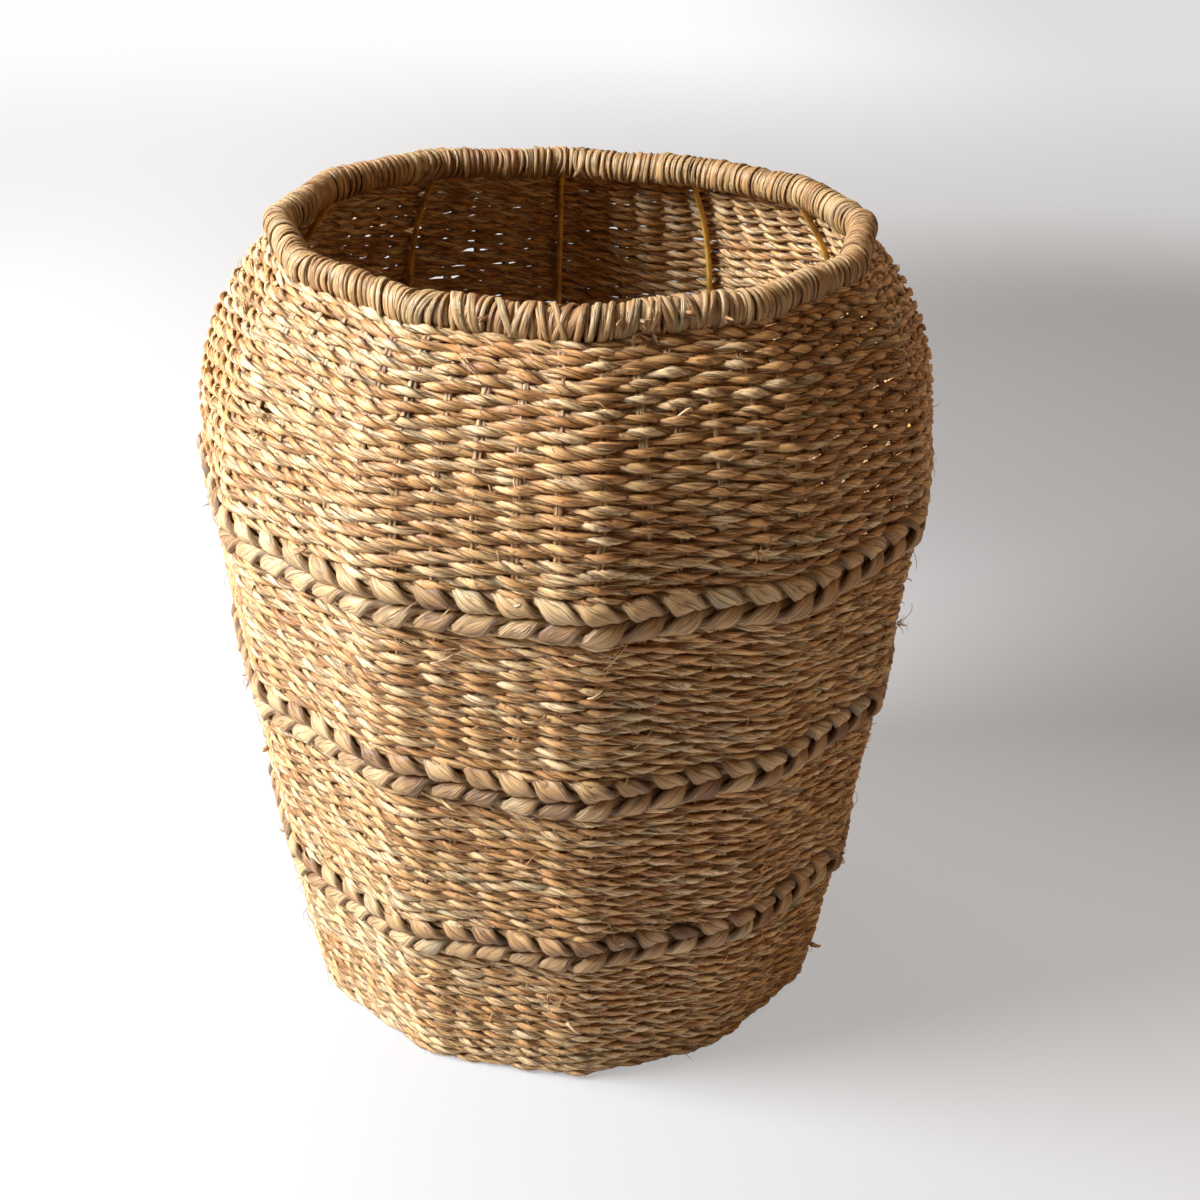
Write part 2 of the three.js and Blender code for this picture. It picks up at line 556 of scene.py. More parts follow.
@dataclass(frozen=True)
class GrassFinish:
    """Dried seagrass: waxy fibres, so fine lines run along each strand and its sheen is soft and uneven."""

    name: str
    stops: tuple[tuple[float, str], ...]
    fibre_width: float = 0.9
    fibre_length: float = 16.0
    patch_size: float = 45.0
    crease_shares: Range = (0.7, 0.3)
    mottle: float = 0.5
    line_span: Range = (0.36, 0.6)
    line_dark: float = 0.62
    fold_span: float = 0.035
    # The next two set how dark the painted shade in the creases and at the thin edges goes.
    fold_shade: float = 0.36
    edge_shade: float = 0.28
    edge_start: float = 0.66
    line_and_shade_colour: str = "#3A1E0E"
    roughness: float = 0.5
    rough_span: Range = (0.3, 0.7)
    smoother: float = 0.1
    rougher: float = 0.15
    fold_relief: float = 0.6
    bump_height: float = 0.7
    bump_strength: float = 0.9
    specular: float = 0.6

    def make(self) -> Material:
        """Builds the material.

        Returns:
            The new material.
        """
        material, tree, shader = start_material(self.name)
        uv = add_node(tree, "ShaderNodeUVMap", uv_map="UVMap")
        place = add_node(tree, "ShaderNodeTexCoord").outputs["Object"]
        # Fibres are about 0.2 mm wide on the real strand and are drawn coarser, so that they show.
        lengthwise = 1 / (self.fibre_length * MM)
        across = 1 / (self.fibre_width * MM)
        fibre_map = add_node(tree, "ShaderNodeMapping", {"Vector": uv, "Scale": (lengthwise, across, 1.0)})
        fibres = add_node(
            tree, "ShaderNodeTexNoise", {"Vector": fibre_map, "Scale": 1.0, "Detail": 3.0, "Roughness": 0.6},
        )
        crease_scale = (lengthwise * self.crease_shares[0], across * self.crease_shares[1], 1.0)
        crease_map = add_node(tree, "ShaderNodeMapping", {"Vector": uv, "Scale": crease_scale})
        creases = add_node(
            tree, "ShaderNodeTexNoise",
            {"Vector": crease_map, "Scale": 1.0, "Detail": 2.0, "Distortion": 0.4},
        )
        scale = 1 / (self.patch_size * MM)
        patches = add_node(tree, "ShaderNodeTexNoise", {"Vector": place, "Scale": scale, "Detail": 2.0})
        varied = add_node(tree, "ShaderNodeAttribute", attribute_name="tone").outputs["Fac"]
        for noise in (creases, patches):
            uneven = add_node(
                tree, "ShaderNodeMath",
                {0: noise, 1: self.mottle, 2: -self.mottle / 2}, operation="MULTIPLY_ADD",
            )
            varied = add_node(tree, "ShaderNodeMath", {0: varied, 1: uneven}, operation="ADD")
        ramp = add_node(tree, "ShaderNodeValToRGB", {"Fac": varied})
        set_ramp(ramp, self.stops)
        lines = add_node(tree, "ShaderNodeMapRange", {
            "Value": fibres, "From Min": self.line_span[0], "From Max": self.line_span[1],
            "To Min": self.line_dark, "To Max": 1.0,
        })
        # Painted shade: thin lines along the creases are darkened as if shade lay in them.
        off_middle = add_node(tree, "ShaderNodeMath", {0: creases, 1: 0.5}, operation="SUBTRACT")
        off_middle = add_node(tree, "ShaderNodeMath", {0: off_middle}, operation="ABSOLUTE")
        folds = add_node(
            tree, "ShaderNodeMapRange",
            {"Value": off_middle, "From Max": self.fold_span, "To Min": self.fold_shade, "To Max": 1.0},
        )
        # Painted shade: a strand's thin edges, which roll in between its neighbours, are darkened as if in
        # their shade.
        edges = add_node(tree, "ShaderNodeMapRange", {
            "Value": add_node(tree, "ShaderNodeAttribute", attribute_name="edge").outputs["Fac"],
            "From Min": self.edge_start, "From Max": 1.0, "To Min": 1.0, "To Max": self.edge_shade,
        })
        shade = lines
        for darkening in (folds, edges):
            shade = add_node(tree, "ShaderNodeMath", {0: shade, 1: darkening}, operation="MULTIPLY")
        # The dark fibre lines and the painted shade in the creases and at the edges go brown and not grey.
        line_and_shade = add_node(tree, "ShaderNodeValToRGB", {"Fac": shade})
        set_ramp(line_and_shade, ((0.0, self.line_and_shade_colour), (1.0, "#FFFFFF")))
        coloured = add_node(tree, "ShaderNodeVectorMath", {0: ramp, 1: line_and_shade}, operation="MULTIPLY")
        rough = add_node(tree, "ShaderNodeMapRange", {
            "Value": creases, "From Min": self.rough_span[0], "From Max": self.rough_span[1],
            "To Min": self.roughness - self.smoother, "To Max": self.roughness + self.rougher,
        })
        relief = add_node(
            tree, "ShaderNodeMath", {0: folds, 1: self.fold_relief, 2: fibres}, operation="MULTIPLY_ADD",
        )
        bump = add_node(
            tree, "ShaderNodeBump",
            {"Height": relief, "Distance": self.bump_height * MM, "Strength": self.bump_strength},
        )
        feed(shader, {
            "Base Color": coloured, "Roughness": rough, "Normal": bump, "Specular IOR Level": self.specular,
        })
        return material


@dataclass(frozen=True)
class PaintFinish:
    """Ochre paint on iron rod: a thin brushed coat with a low gloss, worn and stained in patches."""

    name: str = "ochre_paint_on_iron_rod"
    coat: str = "#D9A948"
    stain: str = "#AD8236"
    patch_size: float = 12.0
    patch_span: Range = (0.38, 0.58)
    brush_depth: float = 0.2
    brush_strength: float = 0.6
    roughness: float = 0.42

    def make(self) -> Material:
        """Builds the material.

        Returns:
            The new material.
        """
        material, tree, shader = start_material(self.name)
        place = add_node(tree, "ShaderNodeTexCoord").outputs["Object"]
        scale = 1 / (self.patch_size * MM)
        patches = add_node(tree, "ShaderNodeTexNoise", {"Vector": place, "Scale": scale, "Detail": 4.0})
        ramp = add_node(tree, "ShaderNodeValToRGB", {"Fac": patches})
        set_ramp(ramp, ((self.patch_span[0], self.stain), (self.patch_span[1], self.coat)))
        bump = add_node(
            tree, "ShaderNodeBump",
            {"Height": patches, "Distance": self.brush_depth * MM, "Strength": self.brush_strength},
        )
        feed(shader, {"Base Color": ramp, "Normal": bump, "Roughness": self.roughness})
        return material


CORD_FINISH = GrassFinish(
    name="twisted_dried_seagrass_cord",
    stops=(
        (0.0, "#925E32"), (0.14, "#BF864B"), (0.35, "#D9A161"), (0.6, "#E8B97A"),
        (0.88, "#F2D09D"), (0.97, "#E6CA98"), (1.0, "#CBB688"),
    ),
)
BAND_FINISH = GrassFinish(
    name="flat_dried_seagrass_strand",
    stops=((0.0, "#704B2D"), (0.25, "#A47A4E"), (0.55, "#CCA26C"), (0.85, "#E2BF8A"), (1.0, "#B6A17C")),
    fibre_width=0.9, fibre_length=26.0, line_dark=0.6, fold_shade=0.42, edge_shade=0.52, bump_height=1.0,
)
WRAP_FINISH = GrassFinish(
    name="wrapped_dried_seagrass_strip",
    stops=(
        (0.0, "#714825"), (0.2, "#9C6D40"), (0.45, "#B78955"),
        (0.75, "#C7A26D"), (0.94, "#BDA274"), (1.0, "#A2936D"),
    ),
    fibre_width=0.8, fibre_length=20.0, line_dark=0.6, fold_shade=0.42, edge_shade=0.6, edge_start=0.75,
    bump_height=0.9,
)
STAKE_FINISH = GrassFinish(
    name="thin_dried_seagrass_stake",
    stops=((0.0, "#8A6038"), (0.4, "#B98C5A"), (0.8, "#D2AC78"), (1.0, "#CDB084")),
    fibre_width=0.7, fibre_length=12.0,
)


# Sub-assemblies

class Twist(Enum):
    """Which way the outer strands of a twisted pair slant, as seen from outside the basket."""

    FALLING = -1
    RISING = 1


def dress(piece: Piece, material: Material, slot: str, *nodes: str) -> Piece:
    """Gives a piece its finish and its place in the frame.

    Args:
        piece: the piece.
        material: its material.
        slot: the record's material slot; not used.
        nodes: the frame nodes that it stands for.

    Returns:
        The same piece.
    """
    piece.data.materials.clear()
    piece.data.materials.append(material)
    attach(piece, "root")
    if nodes:
        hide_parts(*nodes)
    piece.data.calc_loop_triangles()
    log.info("%s: %d triangles", piece.name, len(piece.data.loop_triangles))
    return piece


@dataclass(frozen=True)
class Cord:
    """Two-ply seagrass cord."""

    ply_offset: float = 1.3
    ply_half_width: float = 2.3
    ply_half_thickness: float = 1.45
    leaf_narrow: float = 0.74
    step: float = 3.4
    sides: int = 6
    twist: Twist = Twist.FALLING
    turn_waver: Waver = Waver(0.22, 21.0)
    swell_wavers: tuple[Waver, Waver] = (Waver(0.24, 24.0), Waver(0.12, 130.0))
    swell_limits: Range = (0.7, 1.35)
    toning: Toning = Toning(0.28, 0.6, 120.0, 420.0, (Waver(0.12, 15.0), Waver(0.1, 60.0)))

    def add_to(
        self, strands: StrandMesh, rng: Rng, centre: Array, out: Array, up: Array,
        twisted: Array, tall: Value = 1.0,
    ) -> None:
        """Adds the cord's two plies along a path.

        Args:
            strands: the mesh to add them to.
            rng: source of the draws.
            centre: points along the cord's middle.
            out: directions out of the woven surface.
            up: directions along the surface and across the cord.
            twisted: how far the two plies have turned round each other at each point.
            tall: height of the cord across the rows at each point, as a share of the usual.
        """
        along = length_along(centre)
        for ply in range(2):
            turn = self.twist.value * twisted + ply * math.pi + self.turn_waver.along(rng, along)
            away = out * np.cos(turn)[:, None] + up * np.sin(turn)[:, None]
            offset = out * np.cos(turn)[:, None] + up * (np.sin(turn) * tall)[:, None]
            swell = 1 + sum(waver.along(rng, along) for waver in self.swell_wavers)
            swell = np.clip(swell, *self.swell_limits)
            leaf = self.leaf_narrow + (1 - self.leaf_narrow) * np.cos(turn) ** 2
            tone = self.toning.along(rng, along)
            strands.add(
                centre + offset * self.ply_offset,
                away,
                self.ply_half_width * swell * leaf * (1 + (tall - 1) * np.cos(turn) ** 2),
                self.ply_half_thickness * (0.5 + 0.5 * swell) * (1 + (tall - 1) * np.sin(turn) ** 2),
                tone,
                rng,
            )


@dataclass
class WovenWall:
    """One stretch of plain weave: a cord that climbs in rows, outside one stake and inside the next."""

    node: str
    low: float
    high: float
    row_pitch: float
    seed: int
    float_reach: float = 1.4
    depth: float = 4.5
    start: float = math.pi
    squeezed: float = 0.9
    swollen: float = 1.18
    settling: float = 0.05
    dwell: float = 0.12
    height_waver: Waver = Waver(0.8, 34.0)
    float_waver: Waver = Waver(0.15, 40.0)
    depth_waver: Waver = Waver(0.25, 70.0)
    slip_waver: Waver = Waver(2.8, 90.0)
    tight_height: float = 12.0
    tight_share: float = 0.45
    cord: Cord = Cord()
    most_rings: int = 7900

    def build(self, material: Material) -> list[Piece]:
        """Weaves the stretch in pieces of whole lengths of cord.

        Args:
            material: finish of the cord.

        Returns:
            The pieces.
        """
        rng = np.random.default_rng(self.seed)
        climb = FORM.climb_between(self.low, self.high)
        rows = climb / self.row_pitch
        middle_radius = float(FORM.outer_radius((self.low + self.high) / 2)) - self.depth
        rings = int(rows * FULL_TURN * middle_radius / self.cord.step)
        turned = np.linspace(0.0, rows * FULL_TURN, rings)
        height = FORM.height_of_climb(self.low, climb * turned / turned[-1])
        angle = turned + self.start
        along = turned * middle_radius
        height = height + self.height_waver.along(rng, along)
        side = np.cos(FORM.stake_count * angle / 2)
        reach = self.float_reach * (1 + self.float_waver.along(rng, along)) * side
        reach = reach + self.depth_waver.along(rng, along)
        # The lowest and highest rows are pulled tight.
        from_end = np.minimum(height - FORM.base_row, FORM.wall_top - height)
        reach = reach * np.interp(from_end, (0.0, self.tight_height), (self.tight_share, 1.0))
        tall = self.squeezed + (self.swollen - self.squeezed) * side**2
        # The twist slips along the cord, but settles with one ply or the other flat over each stake.
        slip = self.slip_waver.along(rng, along)
        slip = slip - self.settling * np.sin(2 * slip)
        twisted = FORM.stake_count * angle / 2 + slip
        twisted = twisted - self.dwell * np.sin(2 * twisted)
        base, out, up = FORM.on_side(angle, height, self.depth)
        centre = base + out * reach[:, None]
        pieces = []
        count = math.ceil(rings / self.most_rings)
        for part in range(count):
            chosen = slice(part * rings // count, (part + 1) * rings // count + 1)
            strands = StrandMesh(self.cord.sides)
            self.cord.add_to(strands, rng, *(values[chosen] for values in (centre, out, up, twisted, tall)))
            name = f"{self.node}_cord_{part + 1}"
            pieces.append(dress(strands.build(name), material, "seagrass_weave", self.node))
        return pieces


@dataclass
class Stakes:
    """Upright bundles of thin strands that the cord is woven round."""

    fewest_strands: int = 2
    most_strands: int = 3
    strand_radius: float = 1.1
    radius_range: Range = (0.85, 1.2)
    flatness: float = 1.2
    strand_spacing: float = 1.75
    tone_range: Range = (0.1, 0.95)
    bundle_waver: Waver = Waver(0.9, 60.0)
    aside_waver: Waver = Waver(0.5, 26.0)
    depth_waver: Waver = Waver(0.35, 25.0)
    size_waver: Waver = Waver(0.2, 40.0)
    tone_waver: Waver = Waver(0.1, 20.0)
    depth: float = 4.5
    low: float = 3.0
    high: float = 484.0
    step: float = 9.0
    sides: int = 5
    seed: int = 41

    def build(self, material: Material) -> Piece:
        """Makes all stakes as one piece.

        Args:
            material: finish of the strands.

        Returns:
            The piece.
        """
        rng = np.random.default_rng(self.seed)
        strands = StrandMesh(self.sides)
        rings = int((self.high - self.low) / self.step)
        height = np.linspace(self.low, self.high, rings)
        radius = FORM.outer_radius(height) - self.depth
        for stake in range(FORM.stake_count):
            middle = FULL_TURN * stake / FORM.stake_count
            sway = self.bundle_waver.along(rng, height)
            count = int(rng.integers(self.fewest_strands, self.most_strands + 1))
            spacing = self.strand_spacing * self.most_strands / (count + 0.5)
            for strand in range(count):
                aside = (strand - (count - 1) / 2) * spacing
                aside = aside + sway + self.aside_waver.along(rng, height)
                angle = middle + aside / radius
                centre, out, _ = FORM.on_side(angle, height, self.depth)
                centre = centre + out * self.depth_waver.along(rng, height)[:, None]
                size = self.strand_radius * rng.uniform(*self.radius_range)
                size = size * (1 + self.size_waver.along(rng, height))
                tone = rng.uniform(*self.tone_range) + self.tone_waver.along(rng, height)
                width = size * self.flatness * math.sqrt(self.most_strands / count)
                strands.add(centre, out, width, size, tone, rng)
        return dress(strands.build("stakes"), material, "seagrass_weave")


@dataclass
class ArrowBand:
    """Decorative band: two rows of twined flat strands that slant opposite ways and make a row of arrows."""

    name: str
    level: float
    seed: int
    half_width: float = 7.0
    narrowest: float = 0.4
    dwell: float = 0.16
    half_thickness: float = 2.7
    lift: float = 3.3
    swing: float = 3.4
    depth: float = 3.9
    steps_per_stake: int = 8
    sides: int = 8
    turn_waver: Waver = Waver(0.14, 40.0)
    height_waver: Waver = Waver(0.4, 30.0)
    depth_waver: Waver = Waver(0.3, 50.0)
    swell_waver: Waver = Waver(0.16, 26.0)
    swell_limits: Range = (0.75, 1.25)
    turned_thicker: float = 0.25
    toning: Toning = Toning(0.25, 0.55, 90.0, 260.0, (Waver(0.26, 20.0),))

    def build(self, material: Material) -> list[Piece]:
        """Twines the two rows.

        Args:
            material: finish of the strands.

        Returns:
            The two pieces.
        """
        rows = (("top_row", 1, Twist.FALLING), ("bottom_row", -1, Twist.RISING))
        pieces = []
        for label, side, twist in rows:
            node = f"{self.name}_band_{label}"
            rng = np.random.default_rng(self.seed + side)
            strands = StrandMesh(self.sides)
            level = self.level + side * FORM.band_height / 4
            self.twine(strands, rng, level, twist)
            pieces.append(dress(strands.build(f"{node}_strands"), material, "flat_strand", node))
        return pieces

    def twine(self, strands: StrandMesh, rng: Rng, level: float, twist: Twist) -> None:
        """Adds a row's strand, which goes round twice, because the number of stakes is odd.

        Args:
            strands: the mesh to add it to.
            rng: source of the draws.
            level: height of the row's middle.
            twist: which way its lobes slant.
        """
        rounds = 2
        rings = rounds * FORM.stake_count * self.steps_per_stake + 1
        angle = math.pi + np.linspace(0.0, rounds * FULL_TURN, rings)
        along = angle * float(FORM.outer_radius(level))
        turn = twist.value * FORM.stake_count * angle / 2 + self.turn_waver.along(rng, along)
        turn = turn - self.dwell * np.sin(2 * turn)
        height = level + self.lift * np.sin(turn) + self.height_waver.along(rng, along)
        base, out, up = FORM.on_side(angle, height, self.depth)
        centre = base + out * (self.swing * np.cos(turn) + self.depth_waver.along(rng, along))[:, None]
        away = out * np.cos(turn)[:, None] + up * np.sin(turn)[:, None]
        swell = np.clip(1 + self.swell_waver.along(rng, along), *self.swell_limits)
        lobe = self.narrowest + (1 - self.narrowest) * np.cos(turn) ** 2
        thick = 1 + self.turned_thicker * np.sin(turn) ** 2
        tone = self.toning.along(rng, along)
        strands.add(centre, away, self.half_width * swell * lobe, self.half_thickness * thick, tone, rng)


@dataclass(frozen=True)
class WrapLayer:
    """One strip wound round the rim: how many wraps, how wide, how far it lifts and leans."""

    wraps: int
    half_width: float
    width_spread: float
    lift: float
    lift_spread: float
    lean: float


@dataclass
class RimBinding:
    """Strips of seagrass wrapped closely round the rim hoop, with crossed wraps and stubs at the front."""

    layers: tuple[WrapLayer, ...] = (
        WrapLayer(wraps=307, half_width=1.8, width_spread=0.48, lift=-0.9, lift_spread=0.5, lean=2.8),
        WrapLayer(wraps=257, half_width=1.65, width_spread=0.64, lift=0.1, lift_spread=0.7, lean=5.0),
    )
    half_width: float = 1.65
    half_thickness: float = 0.95
    sag: float = 0.8
    steps_per_wrap: int = 18
    sides: int = 8
    slow_lean: Waver = Waver(0.8, 38.0)
    # The spacings of the next four wavers and the lengths in the toning are in wraps.
    quick_lean: Waver = Waver(0.75, 2.0)
    aside_waver: Waver = Waver(0.3, 1.5)
    lift_waver: Waver = Waver(1.0, 0.8)
    width_waver: Waver = Waver(1.0, 1.1)
    toning: Toning = Toning(0.42, 0.38, 1.0, 5.0, (Waver(0.1, 0.4),))
    lean_phase: float = 0.5
    swell_limits: Range = (0.55, 1.45)
    core_inset: float = 2.3
    core_rings: int = 181
    core_sides: int = 16
    # Angles of the crossed wraps and the stubs are in degrees.
    crossed: Range = (-20.0, 30.0)
    crossed_count: int = 34
    crossed_rings: int = 22
    crossed_start: float = -62.0
    crossed_sweep: Range = (215.0, 300.0)
    crossed_slant: Range = (7.0, 17.0)
    crossed_pivot: float = 0.4
    crossed_lift: float = 1.3
    crossed_tuck: float = 2.4
    crossed_tones: Range = (0.3, 0.95)
    crossed_widths: Range = (0.85, 1.25)
    stub_count: int = 10
    stub_rings: int = 5
    stub_turn: Range = (-45.0, 40.0)
    stub_lift: float = 0.2
    stub_shreds: tuple[int, int] = (2, 4)
    shred_aside: Range = (0.3, 1.0)
    shred_down: Range = (-0.3, 0.8)
    shred_out: Range = (0.35, 0.8)
    shred_length: Range = (3.5, 8.0)
    shred_droop: float = 0.8
    shred_width: Range = (0.7, 1.5)
    shred_taper: float = 0.35
    shred_flatness: float = 0.55
    shred_tones: Range = (0.15, 0.6)
    seed: int = 77

    @property
    def half_wide(self) -> float:
        """Half the width of the section that runs through the middle of the wraps."""
        return FORM.binding_width / 2 - self.half_thickness

    @property
    def half_high(self) -> float:
        """Half the height of the section that runs through the middle of the wraps."""
        return FORM.binding_height / 2 - self.half_thickness

    def rim_point(self, angle: Array, turn: Value, lift: Value) -> tuple[Array, Array]:
        """Points round the rim's section.

        Args:
            angle: angles round the basket.
            turn: angles round the rim's section, from outwards and over the top.
            lift: distance from the surface of the wrapped rim.

        Returns:
            The points and the directions out of the rim.
        """
        half_wide = self.half_wide + lift
        half_high = self.half_high + lift
        radius = (FORM.rim_hoop_radius + half_wide * np.cos(turn)) * FORM.plan_factor(angle)
        height = FORM.rim_hoop_height - self.sag + half_high * np.sin(turn)
        height = height + FORM.slump.at(angle, np.full(len(angle), FORM.overall_height))
        out = round_place(angle, np.cos(turn) / half_wide, np.sin(turn) / half_high)
        return round_place(angle, radius, height), unit(out)

    def build(self, material: Material) -> list[Piece]:
        """Wraps the rim.

        Args:
            material: finish of the strips.

        Returns:
            The close wraps and the crossed wraps.
        """
        rng = np.random.default_rng(self.seed)
        strands = StrandMesh(self.sides)
        for layer in self.layers:
            self.wind(strands, rng, layer)
        close = dress(strands.build("rim_close_wraps"), material, "rim_wrap", "rim_binding")
        return [close, self.cross(material, rng), self.fill(material)]

    def fill(self, material: Material) -> Piece:
        """Adds the bundle of grass that the strips are wrapped round.

        Args:
            material: finish of the bundle.

        Returns:
            The piece.
        """
        strands = StrandMesh(self.core_sides)
        angle = math.pi + np.linspace(0.0, FULL_TURN, self.core_rings)
        outside, out = self.rim_point(angle, 0.0, -self.core_inset)
        wide = self.half_wide - self.core_inset
        high = self.half_high - self.core_inset
        # The bundle takes the darkest tone all round: a real bundle of grass, and painted shade in the gaps
        # between the wraps.
        strands.add(outside - out * wide, out, high, wide, 0.0)
        return dress(strands.build("rim_grass_core"), material, "rim_wrap")

    def wind(self, strands: StrandMesh, rng: Rng, layer: WrapLayer) -> None:
        """Winds one layer all round the rim.

        Args:
            strands: the mesh to add it to.
            rng: source of the draws.
            layer: the layer's sizes.
        """
        rings = layer.wraps * self.steps_per_wrap + 1
        turn = np.linspace(0.0, layer.wraps * FULL_TURN, rings)
        along = turn * FORM.rim_hoop_radius / layer.wraps
        pitch = along[-1] / layer.wraps
        lean = layer.lean * (self.slow_lean.along(rng, along) + self.quick_lean.along(rng, along, pitch))
        aside = lean * np.cos(turn + self.lean_phase) + pitch * self.aside_waver.along(rng, along, pitch)
        angle = math.pi + (along + aside) / FORM.rim_hoop_radius
        lift = layer.lift + layer.lift_spread * self.lift_waver.along(rng, along, pitch)
        centre, out = self.rim_point(angle, turn, lift)
        swell = 1 + layer.width_spread * self.width_waver.along(rng, along, pitch)
        width = layer.half_width * np.clip(swell, *self.swell_limits)
        strands.add(centre, out, width, self.half_thickness, self.toning.along(rng, along, pitch))

    def cross(self, material: Material, rng: Rng) -> Piece:
        """Adds the wraps that cross over the others at the front.

        Args:
            material: finish of the strips.
            rng: source of the draws.

        Returns:
            The piece.
        """
        strands = StrandMesh(self.sides)
        share = np.linspace(0.0, 1.0, self.crossed_rings)
        for _ in range(self.crossed_count):
            start = rng.uniform(*np.radians(self.crossed))
            turn = math.radians(self.crossed_start) + share * np.radians(rng.uniform(*self.crossed_sweep))
            slant = rng.choice([-1.0, 1.0]) * rng.uniform(*self.crossed_slant)
            angle = start + slant * (share - self.crossed_pivot) / FORM.rim_hoop_radius
            lift = self.crossed_lift - self.crossed_tuck * (np.abs(share - 0.5) * 2) ** 4
            centre, out = self.rim_point(angle, turn, lift)
            tone = rng.uniform(*self.crossed_tones)
            width = self.half_width * rng.uniform(*self.crossed_widths)
            strands.add(centre, out, width, self.half_thickness, tone, rng)
        for _ in range(self.stub_count):
            self.add_stub(strands, rng)
        return dress(strands.build("rim_crossed_wraps"), material, "rim_wrap")

    def add_stub(self, strands: StrandMesh, rng: Rng) -> None:
        """Adds the cut end of a strip, split into shreds, where it comes out between the crossed wraps.

        Args:
            strands: the mesh to add it to.
            rng: source of the draws.
        """
        share = np.linspace(0.0, 1.0, self.stub_rings)
        angle = rng.uniform(*np.radians(self.crossed))
        turn = np.radians(rng.uniform(*self.stub_turn))
        root, out = self.rim_point(np.array([angle]), turn, self.stub_lift)
        aside = outwards(angle + math.pi / 2) * rng.choice([-1.0, 1.0])
        fewest, most = self.stub_shreds
        for _ in range(int(rng.integers(fewest, most + 1))):
            heading = aside * rng.uniform(*self.shred_aside) - UPRIGHT * rng.uniform(*self.shred_down)
            heading = heading + out[0] * rng.uniform(*self.shred_out)
            reach = share * rng.uniform(*self.shred_length)
            path = root[0] + np.outer(reach, unit(heading)) - np.outer(self.shred_droop * share**2, UPRIGHT)
            width = rng.uniform(*self.shred_width) * (1 - self.shred_taper * share)
            tone = rng.uniform(*self.shred_tones)
            strands.add(path, out[0], width, self.shred_flatness * width, tone, rng)


@dataclass
class BasePanel:
    """Woven disc that closes the bottom: one cord that runs out in a spiral round radial stakes."""

    row_pitch: float = 4.1
    middle_height: float = 4.1
    float_reach: float = 0.7
    start_radius: float = 3.0
    edge_gap: float = -1.4
    cord: Cord = Cord(0.9, 2.6, 1.2, leaf_narrow=0.86, step=4.4)
    lay: float = 32.0
    row_waver: Waver = Waver(0.3, 40.0)
    zones: tuple[tuple[float, float, int], ...] = ((0.0, 40.0, 15), (40.0, 90.0, 31), (90.0, 168.0, 63))
    stake_sides: int = 5
    stake_rings: int = 9
    stake_overlap: float = 8.0
    stake_nearest: float = 2.0
    stake_tuck: float = 2.0
    stake_half_width: float = 2.0
    stake_half_thickness: float = 1.0
    stake_tones: Range = (0.1, 0.9)
    seed: int = 93

    def build(self, cord_finish: Material, stake_finish: Material) -> list[Piece]:
        """Weaves the disc.

        Args:
            cord_finish: material of the cord.
            stake_finish: material of the radial stakes.

        Returns:
            The weave and its stakes.
        """
        rng = np.random.default_rng(self.seed)
        edge = float(FORM.outer_radius(self.middle_height)) - FORM.wall_thickness - self.edge_gap
        length = math.pi * (edge**2 - self.start_radius**2) / self.row_pitch
        rings = int(length / self.cord.step)
        # Equal lengths of cord take less and less of a turn as the spiral grows.
        radius = np.sqrt(np.linspace(self.start_radius**2, edge**2, rings))
        angle = (radius - self.start_radius) / self.row_pitch * FULL_TURN
        reach = np.zeros(rings)
        for low, high, count in self.zones:
            inside = (radius >= low) & (radius < high)
            reach = np.where(inside, self.float_reach * np.cos(count * angle / 2), reach)
        along = np.arange(rings) * self.cord.step
        spread = self.squared(angle, radius, edge) + self.row_waver.along(rng, along)
        centre = round_place(angle, spread, self.middle_height + reach)
        weave = StrandMesh(self.cord.sides)
        self.cord.add_to(weave, rng, centre, UPRIGHT, outwards(angle), FULL_TURN * along / self.lay)
        stakes = StrandMesh(self.stake_sides)
        for low, high, count in self.zones:
            self.lay_stakes(stakes, rng, low, min(high, edge + self.stake_tuck), count)
        return [
            dress(weave.build("base_cord"), cord_finish, "seagrass_weave", "base_panel"),
            dress(stakes.build("base_stakes"), stake_finish, "seagrass_weave"),
        ]

    def squared(self, angle: Value, radius: Array, edge: float) -> Array:
        """Radius that takes on the twelve-sided plan more and more towards the edge."""
        return radius * (1 - (1 - FORM.plan_factor(angle)) * (radius / edge) ** 2)

    def lay_stakes(self, stakes: StrandMesh, rng: Rng, low: float, high: float, count: int) -> None:
        """Adds the radial stakes of one zone.

        Args:
            stakes: the mesh to add them to.
            rng: source of the draws.
            low: radius where they start.
            high: radius where they end.
            count: number of stakes.
        """
        nearest = max(low - self.stake_overlap, self.stake_nearest)
        radius = np.linspace(nearest, high, self.stake_rings)
        for stake in range(count):
            angle = FULL_TURN * stake / count
            centre = round_place(angle, self.squared(angle, radius, high), self.middle_height)
            tone = rng.uniform(*self.stake_tones)
            stakes.add(centre, UPRIGHT, self.stake_half_width, self.stake_half_thickness, tone, rng)


